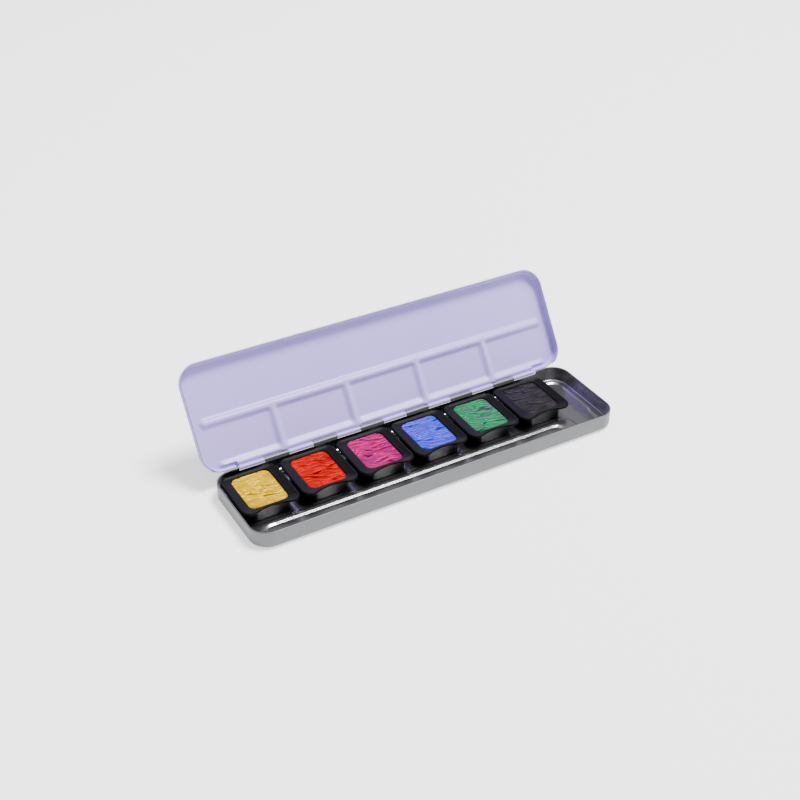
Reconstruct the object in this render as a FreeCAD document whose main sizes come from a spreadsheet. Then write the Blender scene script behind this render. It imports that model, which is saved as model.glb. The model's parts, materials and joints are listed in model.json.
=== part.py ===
import FreeCAD, Part
import math
import os
import Sketcher

# Hinged tin of six watercolour pans, lid open.
# Frame: origin at the centre of the base's underside, X along the tin, +Y to the hinge, +Z up.
# The lid is drawn closed, in a frame whose origin is the hinge pin, and its Placement opens it.

PAINTS = ["yellow", "red", "pink", "blue", "green", "charcoal"]

DIMENSIONS = {
    # base tray, in millimetres
    "tray_length": 233.0,
    "tray_width": 59.6,
    "tray_height": 11.0,
    "tray_corner": 11.0,
    "foot_radius": 0.8,
    "sheet": 0.35,
    "hem_width": 0.9,
    "hem_height": 1.0,
    # pressed floor: panels sit lower than the ledge around them
    "panel_drop": 0.9,
    "panel_corner": 5.0,
    "ledge_width": 6.5,
    "ledge_back_width": 4.1,
    "ledge_end_width": 4.2,
    "trough_length": 194.0,
    "trough_width": 11.0,
    "trough_corner": 5.3,
    "trough_x": -9.0,
    "lip_width": 2.4,
    "bay_length": 16.8,
    # hinge
    "pin_y": 31.1,
    "pin_z": 9.2,
    "pin_radius": 0.75,
    "bore_clearance": 0.05,
    "knuckle_radius": 1.2,
    "knuckle_width": 15.2,
    "knuckle_gap": 0.2,
    "wall_cut_z": 8.4,
    "hinge_relief": 0.5,
    # lid
    "lid_open": 124.0,
    "lid_end_gap": 1.7,
    "lid_side_gap": 0.45,
    "lid_corner": 11.5,
    "lid_rest": 0.15,
    "lid_depth": 5.4,
    "lid_edge_radius": 1.0,
    "bead_width": 0.6,
    "bead_height": 1.0,
    "strip_gap": 0.15,
    "trim_start_y": 27.7,
    "trim_end_y": 29.4,
    "trim_z": 8.4,
    # palette ridges pressed into the lid
    "ridge_rise": 1.55,
    "ridge_width": 5.6,
    "ridge_length": 228.0,
    "ridge_y": 3.2,
    "divider_width": 4.6,
    "divider_pitch": 46.6,
    "ledge_bar_y": 26.5,
    "ledge_bar_width": 3.0,
    "ledge_bar_length": 212.0,
    # pans
    "pan_pitch": 35.65,
    "pan_row_x": -7.4,
    "pan_y": 9.35,
    "pan_top_z": 9.0,
    "flange_length": 34.1,
    "flange_width": 35.5,
    "flange_corner": 5.0,
    "flange_thickness": 1.6,
    "cup_wall": 0.9,
    "cup_draft": 1.0,
    "cup_floor": 1.2,
    "window_length": 23.0,
    "window_width": 29.0,
    "window_corner": 3.8,
    "window_shift": 0.45,
    "notch_radius": 26.0,
    "notch_depth": 2.1,
    "paint_recess": 0.9,
    "paint_clearance": 0.05,
    "paint_edge_radius": 0.5,
    "rest_gap": 0.02,
}

KNUCKLES = 13
DIVIDERS = 4
# Corner radius of a pressed bar, as a share of its width.
BAR_ROUNDING = 0.45
# How near an edge's height is to a level, in millimetres, to count as lying on it.
LEVEL_TOLERANCE = 1e-4
QUARTER_TURN = math.pi / 2

# Sizes worked out from the driving dimensions, as spreadsheet formulas.
PANEL_LENGTH = "dims.tray_length - 2 * dims.ledge_end_width"
PANEL_BACK = "(dims.tray_width / 2 - dims.ledge_back_width)"
BAY_FRONT = "(dims.ledge_width - dims.tray_width / 2)"
TROUGH_Y = "(dims.trough_width / 2 - dims.tray_width / 2 + dims.ledge_width)"
PANEL_FRONT = f"({TROUGH_Y} + dims.trough_width / 2 + dims.lip_width)"
BAY_X = "dims.tray_length / 2 - dims.ledge_end_width - dims.bay_length / 2"
HINGE_LENGTH = f"{KNUCKLES} * dims.knuckle_width"
BORE_RADIUS = "dims.pin_radius + dims.bore_clearance"
PLATE_UNDER = "(dims.tray_height + dims.lid_rest - dims.pin_z)"
PLATE_TOP = f"({PLATE_UNDER} + dims.sheet)"
LID_RIM = f"({PLATE_TOP} - dims.lid_depth)"
LID_LENGTH = "(dims.tray_length + 2 * dims.lid_end_gap + 2 * dims.sheet)"
LID_WIDTH = "(dims.tray_width + 2 * dims.lid_side_gap + 2 * dims.sheet)"
CUP_LENGTH = "dims.window_length + 2 * dims.cup_wall"
CUP_WIDTH = "dims.window_width + 2 * dims.cup_wall"
PAN_HEIGHT = "(dims.pan_top_z - dims.sheet - dims.rest_gap)"
PAINT_HEIGHT = f"({PAN_HEIGHT} - dims.cup_floor - dims.paint_recess)"

doc = FreeCAD.newDocument("watercolor_pan_set")


def make_sheet():
    """The spreadsheet of driving dimensions, one alias a row."""
    sheet = doc.addObject("Spreadsheet::Sheet", "dims")
    for row, (alias, value) in enumerate(DIMENSIONS.items(), start=1):
        sheet.set(f"A{row}", alias)
        sheet.set(f"B{row}", str(value))
        sheet.setAlias(f"B{row}", alias)
    doc.recompute()
    return sheet


dims = make_sheet()


def number(formula):
    """The value that a formula has now."""
    return float(dims.evalExpression(str(formula)))


def new_body(label):
    body = doc.addObject("PartDesign::Body", label)
    body.Label = label
    return body


def origin_feature(body, role):
    return next(f for f in body.Origin.OriginFeatures if f.Role == role)


def new_sketch(body, name, plane="XY_Plane", offset="0"):
    """An empty sketch on one of the body's origin planes, moved along the plane's normal."""
    sketch = body.newObject("Sketcher::SketchObject", name)
    sketch.AttachmentSupport = (origin_feature(body, plane), [""])
    sketch.MapMode = "FlatFace"
    sketch.setExpression("AttachmentOffset.Base.z", str(offset))
    return sketch


def bind(sketch, kind, where, formula):
    """Adds a dimension that follows the spreadsheet."""
    index = sketch.addConstraint(Sketcher.Constraint(kind, *where, number(formula)))
    sketch.setExpression(f"Constraints[{index}]", str(formula))


def place_point(sketch, geometry, point, across, up):
    """Holds a point of the sketch at a distance from its origin along both sketch axes."""
    for kind, formula in (("DistanceX", across), ("DistanceY", up)):
        bind(sketch, kind, (-1, 1, geometry, point), formula)


def rectangle(sketch, across, up, length, width):
    """A plain rectangle with its centre at (across, up)."""
    x, y = number(across), number(up)
    half_x, half_y = number(length) / 2, number(width) / 2
    corners = [(x - half_x, y - half_y), (x + half_x, y - half_y)]
    corners += [(x + half_x, y + half_y), (x - half_x, y + half_y)]
    points = [FreeCAD.Vector(a, b, 0) for a, b in corners]
    first = sketch.GeometryCount
    for start, end in zip(points, points[1:] + points[:1]):
        sketch.addGeometry(Part.LineSegment(start, end), False)
    for side in range(4):
        joint = (first + side, 2, first + (side + 1) % 4, 1)
        sketch.addConstraint(Sketcher.Constraint("Coincident", *joint))
        direction = "Vertical" if side % 2 else "Horizontal"
        sketch.addConstraint(Sketcher.Constraint(direction, first + side))
    bind(sketch, "DistanceX", (first, 1, first, 2), length)
    bind(sketch, "DistanceY", (first + 1, 1, first + 1, 2), width)
    place_point(sketch, first, 1, f"{across} - ({length}) / 2", f"{up} - ({width}) / 2")


def rounded_rectangle(sketch, across, up, length, width, radius):
    """A rectangle with four equal round corners and its centre at (across, up)."""
    x, y, corner = number(across), number(up), number(radius)
    run_x, run_y = number(length) / 2 - corner, number(width) / 2 - corner
    centres = [(x + run_x, y - run_y), (x + run_x, y + run_y)]
    centres += [(x - run_x, y + run_y), (x - run_x, y - run_y)]
    arcs = []
    for quarter, (a, b) in enumerate(centres):
        circle = Part.Circle(FreeCAD.Vector(a, b, 0), FreeCAD.Vector(0, 0, 1), corner)
        start = (quarter - 1) * QUARTER_TURN
        arcs.append(sketch.addGeometry(Part.ArcOfCircle(circle, start, start + QUARTER_TURN), False))
    for side in range(4):
        here, there = arcs[side], arcs[(side + 1) % 4]
        start = sketch.getPoint(here, 2)
        end = sketch.getPoint(there, 1)
        line = sketch.addGeometry(Part.LineSegment(start, end), False)
        sketch.addConstraint(Sketcher.Constraint("Tangent", here, 2, line, 1))
        sketch.addConstraint(Sketcher.Constraint("Tangent", line, 2, there, 1))
        direction = "Horizontal" if side % 2 else "Vertical"
        sketch.addConstraint(Sketcher.Constraint(direction, line))
        if side:
            sketch.addConstraint(Sketcher.Constraint("Equal", arcs[0], here))
    bind(sketch, "Radius", (arcs[0],), radius)
    bind(sketch, "DistanceX", (arcs[3], 3, arcs[0], 3), f"({length}) - 2 * ({radius})")
    bind(sketch, "DistanceY", (arcs[0], 3, arcs[1], 3), f"({width}) - 2 * ({radius})")
    low_x = f"{across} - ({length}) / 2 + ({radius})"
    low_y = f"{up} - ({width}) / 2 + ({radius})"
    place_point(sketch, arcs[3], 3, low_x, low_y)


def circle(sketch, across, up, radius):
    centre = FreeCAD.Vector(number(across), number(up), 0)
    shape = Part.Circle(centre, FreeCAD.Vector(0, 0, 1), number(radius))
    index = sketch.addGeometry(shape, False)
    bind(sketch, "Radius", (index,), radius)
    place_point(sketch, index, 3, across, up)


def polygon(sketch, corners):
    """A closed outline of straight sides through the corners, each an (across, up) pair."""
    points = [FreeCAD.Vector(number(a), number(b), 0) for a, b in corners]
    first = sketch.GeometryCount
    count = len(points)
    for start, end in zip(points, points[1:] + points[:1]):
        sketch.addGeometry(Part.LineSegment(start, end), False)
    for side in range(count):
        joint = (first + side, 2, first + (side + 1) % count, 1)
        sketch.addConstraint(Sketcher.Constraint("Coincident", *joint))
        place_point(sketch, first + side, 1, *corners[side])


def extrude(body, kind, name, sketch, length, backward=False, both_ways=False):
    """A Pad or a Pocket of the sketch, which must change the body's volume."""
    before = body.Shape.Volume if body.Tip else 0.0
    feature = body.newObject(f"PartDesign::{kind}", name)
    feature.Profile = sketch
    feature.setExpression("Length", str(length))
    feature.Reversed = backward
    feature.Midplane = both_ways
    doc.recompute()
    change = body.Shape.Volume - before
    if (kind == "Pad" and change <= 0) or (kind == "Pocket" and change >= 0):
        raise RuntimeError(f"{body.Label}: {name} changed nothing")
    return feature


def round_edges(body, name, height, radius):
    """Fillets every edge of the body that lies flat at a height."""
    base = body.Tip
    level = number(height)
    chosen = []
    for index, edge in enumerate(base.Shape.Edges, start=1):
        box = edge.BoundBox
        if abs(box.ZMin - level) < LEVEL_TOLERANCE and abs(box.ZMax - level) < LEVEL_TOLERANCE:
            chosen.append(f"Edge{index}")
    feature = body.newObject("PartDesign::Fillet", name)
    feature.Base = (base, chosen)
    feature.setExpression("Radius", str(radius))
    doc.recompute()


def repeat(body, name, originals, spacing, count):
    """Copies features along X."""
    pattern = body.newObject("PartDesign::LinearPattern", name)
    pattern.Originals = originals
    pattern.Direction = (origin_feature(body, "X_Axis"), [""])
    pattern.Mode = "Extent"
    pattern.setExpression("Length", f"{count - 1} * ({spacing})")
    pattern.Occurrences = count
    body.Tip = pattern
    doc.recompute()


def tray_outline(sketch, inset):
    rounded_rectangle(
        sketch,
        "0",
        "0",
        f"dims.tray_length - 2 * ({inset})",
        f"dims.tray_width - 2 * ({inset})",
        f"dims.tray_corner - ({inset})",
    )


def floor_panels(body, name, kind, height, depth, inset):
    """The main floor, the bay at the right end and the brush trough, each one level panel."""
    main_middle = f"({PANEL_BACK} + {PANEL_FRONT}) / 2"
    main_width = f"({PANEL_BACK} - {PANEL_FRONT})"
    bay_middle = f"({PANEL_BACK} + {BAY_FRONT}) / 2"
    bay_width = f"({PANEL_BACK} - {BAY_FRONT})"
    panels = {
        "main": ("0", main_middle, PANEL_LENGTH, main_width, "panel"),
        "bay": (BAY_X, bay_middle, "dims.bay_length", bay_width, "panel"),
        "trough": ("dims.trough_x", TROUGH_Y, "dims.trough_length", "dims.trough_width", "trough"),
    }
    for part, (across, up, length, width, corner_of) in panels.items():
        corner = f"dims.{corner_of}_corner"
        sketch = new_sketch(body, f"{part}_{name}_outline", offset=height)
        shrunk = [f"({size}) - 2 * ({inset})" for size in (length, width)]
        rounded_rectangle(sketch, across, up, *shrunk, f"{corner} - ({inset})")
        extrude(body, kind, f"{part}_{name}", sketch, depth)


def knuckles(body, count, first_x, web, pin_across, pin_up):
    """Every other knuckle of the hinge, each a barrel with a web to its sheet, then the pin's bore."""
    width = "(dims.knuckle_width - dims.knuckle_gap)"
    start = f"{first_x} - {width} / 2"
    barrel_sketch = new_sketch(body, "barrel_outline", "YZ_Plane", start)
    circle(barrel_sketch, pin_across, pin_up, "dims.knuckle_radius")
    barrel = extrude(body, "Pad", "barrel", barrel_sketch, width)
    web_sketch = new_sketch(body, "web_outline", "YZ_Plane", start)
    rectangle(web_sketch, *web)
    web_pad = extrude(body, "Pad", "web", web_sketch, width)
    repeat(body, "knuckle_row", [barrel, web_pad], "2 * dims.knuckle_width", count)
    bore_sketch = new_sketch(body, "bore_outline", "YZ_Plane")
    circle(bore_sketch, pin_across, pin_up, BORE_RADIUS)
    extrude(body, "Pocket", "bore", bore_sketch, HINGE_LENGTH, both_ways=True)


def make_base_tray():
    """Straight-walled tray with an inward hem, a pressed floor and six hinge knuckles."""
    body = new_body("base_tray")
    shell = new_sketch(body, "shell_outline", offset="dims.panel_drop")
    tray_outline(shell, "0")
    extrude(body, "Pad", "shell", shell, "dims.tray_height - dims.panel_drop")
    round_edges(body, "foot_round", "dims.panel_drop", "dims.foot_radius")
    mouth = new_sketch(body, "mouth_outline", offset="dims.tray_height")
    tray_outline(mouth, "dims.hem_width")
    extrude(body, "Pocket", "mouth", mouth, "dims.tray_height - dims.panel_drop - dims.sheet")
    wall = new_sketch(body, "wall_outline", offset="dims.tray_height - dims.hem_height")
    tray_outline(wall, "dims.sheet")
    wall_depth = "dims.tray_height - dims.hem_height - dims.panel_drop - dims.sheet"
    extrude(body, "Pocket", "wall", wall, wall_depth)
    floor_panels(body, "underside", "Pad", "0", "dims.panel_drop", "0")
    inside_level = "dims.panel_drop + dims.sheet"
    floor_panels(body, "inside", "Pocket", inside_level, "dims.panel_drop", "dims.sheet")
    cut = new_sketch(body, "hinge_cut_outline", offset="dims.tray_height")
    cut_length = f"{HINGE_LENGTH} + 2 * dims.hinge_relief"
    rectangle(cut, "0", "dims.tray_width / 2", cut_length, "4 * dims.hem_width")
    extrude(body, "Pocket", "hinge_cut", cut, "dims.tray_height - dims.wall_cut_z")
    wall_inner = "dims.tray_width / 2 - dims.sheet"
    web = (
        f"(dims.pin_y + {wall_inner}) / 2",
        "dims.pin_z - dims.knuckle_radius / 2",
        f"dims.pin_y - ({wall_inner})",
        "dims.knuckle_radius",
    )
    base_count = KNUCKLES // 2
    first_x = f"{1 - base_count} * dims.knuckle_width"
    knuckles(body, base_count, first_x, web, "dims.pin_y", "dims.pin_z")
    return body


def lid_ridges(body, name, kind, height, inset, backward):
    """The long ridge, the bar by the hinge and the dividers between them, raised or hollowed."""
    thinner = f"2 * ({inset})"
    bars = {
        "ridge": ("dims.ridge_y - dims.pin_y", "dims.ridge_length", "dims.ridge_width"),
        "ledge": ("dims.ledge_bar_y - dims.pin_y", "dims.ledge_bar_length", "dims.ledge_bar_width"),
    }
    for part, (up, length, width) in bars.items():
        sketch = new_sketch(body, f"{part}_{name}_outline", offset=height)
        corner = f"({width}) * {BAR_ROUNDING} - ({inset})"
        rounded_rectangle(sketch, "0", up, f"({length}) - {thinner}", f"({width}) - {thinner}", corner)
        extrude(body, kind, f"{part}_{name}", sketch, "dims.ridge_rise", backward)
    divider = new_sketch(body, f"divider_{name}_outline", offset=height)
    first_x = f"{(1 - DIVIDERS) / 2} * dims.divider_pitch"
    middle = "(dims.ridge_y + dims.ledge_bar_y) / 2 - dims.pin_y"
    length = "dims.ledge_bar_y - dims.ridge_y"
    rectangle(divider, first_x, middle, f"dims.divider_width - {thinner}", length)
    first = extrude(body, kind, f"divider_{name}", divider, "dims.ridge_rise", backward)
    repeat(body, f"divider_{name}_row", [first], "dims.divider_pitch", DIVIDERS)


def make_lid():
    """Shallow cover with an outward rim bead, pressed palette ridges and seven hinge knuckles."""
    body = new_body("lid")
    opened = "rotation(vector(1; 0; 0); -dims.lid_open)"
    body.setExpression("Placement", f"placement(vector(0; dims.pin_y; dims.pin_z); {opened})")
    middle = "-dims.pin_y"
    cover = new_sketch(body, "cover_outline", offset=LID_RIM)
    rounded_rectangle(cover, "0", middle, LID_LENGTH, LID_WIDTH, "dims.lid_corner")
    extrude(body, "Pad", "cover", cover, "dims.lid_depth")
    round_edges(body, "edge_round", PLATE_TOP, "dims.lid_edge_radius")
    bead = new_sketch(body, "bead_outline", offset=LID_RIM)
    wider = [f"{size} + 2 * dims.bead_width" for size in (LID_LENGTH, LID_WIDTH)]
    rounded_rectangle(bead, "0", middle, *wider, "dims.lid_corner + dims.bead_width")
    extrude(body, "Pad", "bead", bead, "dims.bead_height")
    inside = new_sketch(body, "inside_outline", offset=LID_RIM)
    narrower = [f"{size} - 2 * dims.sheet" for size in (LID_LENGTH, LID_WIDTH)]
    rounded_rectangle(inside, "0", middle, *narrower, "dims.lid_corner - dims.sheet")
    extrude(body, "Pocket", "inside", inside, "dims.lid_depth - dims.sheet", backward=True)
    round_edges(body, "inside_round", PLATE_UNDER, "dims.lid_edge_radius - dims.sheet")
    lid_ridges(body, "raised", "Pad", PLATE_UNDER, "0", backward=True)
    lid_ridges(body, "hollow", "Pocket", PLATE_TOP, "dims.sheet", backward=False)
    strip_back = "(dims.sheet - dims.knuckle_radius)"
    cut = new_sketch(body, "hinge_cut_outline", offset=PLATE_TOP)
    cut_length = f"{HINGE_LENGTH} + 2 * dims.hinge_relief"
    rectangle(cut, "0", f"{strip_back} + dims.knuckle_radius", cut_length, "2 * dims.knuckle_radius")
    extrude(body, "Pocket", "hinge_cut", cut, "dims.lid_depth")
    trim = new_sketch(body, "corner_trim_outline", "YZ_Plane")
    low = f"{LID_RIM} - dims.bead_height"
    trim_corners = [
        ("dims.trim_start_y - dims.pin_y", low),
        ("dims.trim_start_y - dims.pin_y", LID_RIM),
        ("dims.trim_end_y - dims.pin_y", "dims.trim_z - dims.pin_z"),
        ("dims.knuckle_radius", "dims.trim_z - dims.pin_z"),
        ("dims.knuckle_radius", low),
    ]
    polygon(trim, trim_corners)
    extrude(body, "Pocket", "corner_trim", trim, "2 * dims.tray_length", both_ways=True)
    strip = new_sketch(body, "strip_outline", "YZ_Plane")
    strip_low = "(dims.knuckle_radius + dims.strip_gap)"
    strip_across = f"{strip_back} - dims.sheet / 2"
    strip_up = f"({strip_low} + {PLATE_TOP}) / 2"
    rectangle(strip, strip_across, strip_up, "dims.sheet", f"{PLATE_TOP} - {strip_low}")
    extrude(body, "Pad", "strip", strip, HINGE_LENGTH, both_ways=True)
    web = (strip_across, f"{PLATE_TOP} / 2", "dims.sheet", PLATE_TOP)
    lid_count = KNUCKLES - KNUCKLES // 2
    knuckles(body, lid_count, f"{1 - lid_count} * dims.knuckle_width", web, "0", "0")
    return body


def make_hinge_pin():
    """Plain wire through all the knuckles."""
    body = new_body("hinge_pin")
    body.setExpression("Placement.Base.y", "dims.pin_y")
    body.setExpression("Placement.Base.z", "dims.pin_z")
    sketch = new_sketch(body, "wire_outline", "YZ_Plane")
    circle(sketch, "0", "0", "dims.pin_radius")
    extrude(body, "Pad", "wire", sketch, HINGE_LENGTH, both_ways=True)
    return body


def place_in_row(body, index, height):
    """Puts a pan's piece at its place in the row, on the tray's floor."""
    step = index - (len(PAINTS) - 1) / 2
    body.setExpression("Placement.Base.x", f"dims.pan_row_x + {step} * dims.pan_pitch")
    body.setExpression("Placement.Base.y", "dims.pan_y")
    body.setExpression("Placement.Base.z", height)


def make_pan_shell(colour, index):
    """Cup under a wide flange, with a finger notch in the flange's front edge."""
    body = new_body(f"pan_shell_{colour}")
    place_in_row(body, index, "dims.sheet + dims.rest_gap")
    flange_under = f"{PAN_HEIGHT} - dims.flange_thickness"
    cup = new_sketch(body, "cup_outline", offset=flange_under)
    cup_corner = "dims.window_corner + dims.cup_wall"
    rounded_rectangle(cup, "0", "dims.window_shift", CUP_LENGTH, CUP_WIDTH, cup_corner)
    extrude(body, "Pad", "cup", cup, flange_under, backward=True)
    body.Tip.setExpression("TaperAngle", "-dims.cup_draft")
    doc.recompute()
    flange = new_sketch(body, "flange_outline", offset=flange_under)
    rounded_rectangle(flange, "0", "0", "dims.flange_length", "dims.flange_width", "dims.flange_corner")
    extrude(body, "Pad", "flange", flange, "dims.flange_thickness")
    notch = new_sketch(body, "notch_outline", offset=PAN_HEIGHT)
    notch_y = "dims.notch_depth - dims.flange_width / 2 - dims.notch_radius"
    circle(notch, "0", notch_y, "dims.notch_radius")
    extrude(body, "Pocket", "notch", notch, "dims.flange_thickness")
    window = new_sketch(body, "window_outline", offset=PAN_HEIGHT)
    window_size = ("dims.window_length", "dims.window_width", "dims.window_corner")
    rounded_rectangle(window, "0", "dims.window_shift", *window_size)
    extrude(body, "Pocket", "window", window, f"{PAN_HEIGHT} - dims.cup_floor")
    return body


def make_paint(colour, index):
    """Cake of paint that fills the cup to just below the flange."""
    body = new_body(f"paint_{colour}")
    place_in_row(body, index, "dims.sheet + dims.rest_gap + dims.cup_floor")
    cake = new_sketch(body, "cake_outline")
    smaller = [f"dims.window_{side} - 2 * dims.paint_clearance" for side in ("length", "width")]
    corner = "dims.window_corner - dims.paint_clearance"
    rounded_rectangle(cake, "0", "dims.window_shift", *smaller, corner)
    extrude(body, "Pad", "cake", cake, PAINT_HEIGHT)
    round_edges(body, "cake_round", PAINT_HEIGHT, "dims.paint_edge_radius")
    return body


def check(bodies):
    """Stops if any object failed or any sub-part is not one valid solid."""
    for item in doc.Objects:
        if "Invalid" in item.State or "Error" in item.State:
            raise RuntimeError(f"{item.Name} is {item.State}")
    for body in bodies:
        shape = body.Shape
        if shape.isNull() or not shape.isValid() or len(shape.Solids) != 1:
            raise RuntimeError(f"{body.Label} is not one valid solid")


def main():
    bodies = [make_base_tray(), make_lid(), make_hinge_pin()]
    for index, colour in enumerate(PAINTS):
        bodies.append(make_pan_shell(colour, index))
        bodies.append(make_paint(colour, index))
    doc.recompute()
    check(bodies)
    os.makedirs("parts", exist_ok=True)
    for body in bodies:
        body.Shape.exportStep(f"parts/{body.Label}.step")
        box = body.Shape.BoundBox
        low = f"({box.XMin:.2f}, {box.YMin:.2f}, {box.ZMin:.2f})"
        high = f"({box.XMax:.2f}, {box.YMax:.2f}, {box.ZMax:.2f})"
        print(f"{body.Label}: {body.Shape.Volume:.1f} mm3, {low} to {high}")


main()
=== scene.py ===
import json
import math

import bmesh
import bpy
import numpy as np
from mathutils import Matrix, Vector


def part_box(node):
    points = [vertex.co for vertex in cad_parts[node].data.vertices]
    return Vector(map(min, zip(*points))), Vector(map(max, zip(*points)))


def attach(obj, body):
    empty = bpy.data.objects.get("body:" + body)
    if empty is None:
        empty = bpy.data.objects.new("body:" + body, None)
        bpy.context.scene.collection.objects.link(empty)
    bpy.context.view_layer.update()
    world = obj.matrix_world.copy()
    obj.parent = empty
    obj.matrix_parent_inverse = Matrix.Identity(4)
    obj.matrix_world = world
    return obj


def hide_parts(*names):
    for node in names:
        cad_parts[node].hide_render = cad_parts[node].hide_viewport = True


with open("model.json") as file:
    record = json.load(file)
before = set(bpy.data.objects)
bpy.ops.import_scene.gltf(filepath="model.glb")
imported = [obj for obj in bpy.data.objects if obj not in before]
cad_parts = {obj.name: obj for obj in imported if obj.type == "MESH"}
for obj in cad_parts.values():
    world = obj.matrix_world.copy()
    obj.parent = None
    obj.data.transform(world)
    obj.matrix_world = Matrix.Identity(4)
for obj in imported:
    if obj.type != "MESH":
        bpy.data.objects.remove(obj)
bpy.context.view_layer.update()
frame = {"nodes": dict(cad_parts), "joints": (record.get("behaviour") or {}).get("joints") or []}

# Shapes are worked out in millimetres and put into the meshes in metres.
MM = 0.001
TURN = 2 * math.pi
# Edges that turn by more degrees than this are left sharp.
SHARP = 50
PAINTS = ("yellow", "red", "pink", "blue", "green", "charcoal")


def in_mm(corner):
    """A CAD corner in millimetres."""
    return np.array(corner) / MM


# --- sizes read from the CAD frame, and the sheet-metal facts that go with them ----------------

tray_low, tray_high = (in_mm(c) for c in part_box("base_tray"))
pin_low, pin_high = (in_mm(c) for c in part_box("hinge_pin"))
lid_low, lid_high = (in_mm(c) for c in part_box("lid"))
lid_joint = next(j for j in frame["joints"] if j["name"] == "lid_hinge")

SHEET = 0.35
TRAY_LENGTH = tray_high[0] - tray_low[0]
TRAY_WIDTH = -2 * tray_low[1]
TRAY_HEIGHT = tray_high[2]
TRAY_CORNER = 11.0
HEM = 0.45
HEM_CLEARANCE = 0.3
LEDGE = 1.25
PANEL_DROP = 0.9
FOOT_RADIUS = 1.5
HINGE_HALF = pin_high[0]
HINGE_RELIEF = 0.5
WALL_CUT = 8.4
PIN = np.array(lid_joint["pos_m"])[1:] / MM
PIN_RADIUS = (pin_high[2] - pin_low[2]) / 2
CURL_GAP = 0.1
CURL_RADIUS = PIN_RADIUS + CURL_GAP + SHEET / 2
CURL_TURN = 0.83 * TURN
# How far a knuckle's straight root reaches down into the tray's wall, and the heights over the
# pin between which the lid's roots stand.
CURL_ROOT = 0.4
LID_ROOT = (1.1, 0.6)
KNUCKLES = 13
KNUCKLE_PITCH = 2 * HINGE_HALF / KNUCKLES
KNUCKLE_GAP = 0.2
LID_BEAD = 0.6
LID_SIDE_GAP = 0.45
LID_LENGTH = lid_high[0] - lid_low[0] - 2 * LID_BEAD
LID_WIDTH = TRAY_WIDTH + 2 * (LID_SIDE_GAP + SHEET)
LID_CORNER = 11.5
LID_OPEN = math.radians(-lid_joint["range_deg"][0])
PLATE_GAP = 0.15
PLATE_UNDER = TRAY_HEIGHT + PLATE_GAP
LID_SKIRT = 5.4
LID_RIM = PLATE_UNDER + SHEET - LID_SKIRT
# Counts of points round a drawn wall. At each end of the hinge's stretch, where the wall steps,
# stand two points 0.1 mm apart.
STEP = HINGE_HALF + HINGE_RELIEF
WALL_COUNTS = {
    "corner": 18, "end": 44, "side": 220,
    "breaks": (-STEP - 0.05, -STEP + 0.05, STEP - 0.05, STEP + 0.05),
}
BEAD_COUNTS = {"corner": 18, "end": 20, "side": 110}


# --- mesh helpers ------------------------------------------------------------------------------

def new_piece(name, points, faces, materials, face_slots=None):
    """A mesh of points in millimetres and faces as rows of point numbers, with doubles merged."""
    mesh = bpy.data.meshes.new(name)
    mesh.from_pydata((np.asarray(points) * MM).tolist(), [], faces)
    if face_slots is not None:
        mesh.polygons.foreach_set("material_index", np.asarray(face_slots, dtype=np.int32))
    for material in materials:
        mesh.materials.append(material)
    shape = bmesh.new()
    shape.from_mesh(mesh)
    bmesh.ops.remove_doubles(shape, verts=shape.verts, dist=0.002 * MM)
    shape.to_mesh(mesh)
    shape.free()
    mesh.polygons.foreach_set("use_smooth", np.ones(len(mesh.polygons), dtype=bool))
    mesh.set_sharp_from_angle(angle=math.radians(SHARP))
    mesh.update()
    piece = bpy.data.objects.new(name, mesh)
    bpy.context.scene.collection.objects.link(piece)
    return piece


def grid_faces(rows, columns, first=0):
    """Four-sided faces between neighbouring rows and columns of a grid of points, with the last
    column joined to the first. first is the number of the grid's first point."""
    row = np.arange(rows - 1)[:, None]
    column = np.arange(columns)[None, :]
    beside = (column + 1) % columns
    corners = (row * columns + column, row * columns + beside)
    corners += ((row + 1) * columns + beside, (row + 1) * columns + column)
    return (first + np.stack(np.broadcast_arrays(*corners), axis=-1).reshape(-1, 4)).tolist()


def closed_stack(rows, columns, first=0):
    """Faces of a stack of closed rings, with a flat face over the first ring and the last."""
    last = first + (rows - 1) * columns
    caps = [list(range(first, first + columns)), list(range(last, last + columns))[::-1]]
    return grid_faces(rows, columns, first) + caps


def face_outwards(piece):
    """Turns every face of a closed piece outwards."""
    shape = bmesh.new()
    shape.from_mesh(piece.data)
    bmesh.ops.recalc_face_normals(shape, faces=shape.faces)
    shape.to_mesh(piece.data)
    shape.free()
    return piece


def sheet_wall(name, outer, inner, outer_material, inner_material, move=None):
    """A closed sheet-metal wall from two lists of (flat ring, heights), both from the rim in to
    the middle line: up the outer face to the rim, over it and down the inner face."""
    layers = outer[::-1] + inner
    points = stack_rings(*zip(*layers))
    points = move(points) if move else points
    rows, columns = points.shape[:2]
    faces = grid_faces(rows, columns)
    inside = np.repeat(np.arange(rows - 1) >= len(outer), columns)
    wall = new_piece(name, points.reshape(-1, 3), faces, [outer_material, inner_material], inside)
    return face_outwards(wall)


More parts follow.
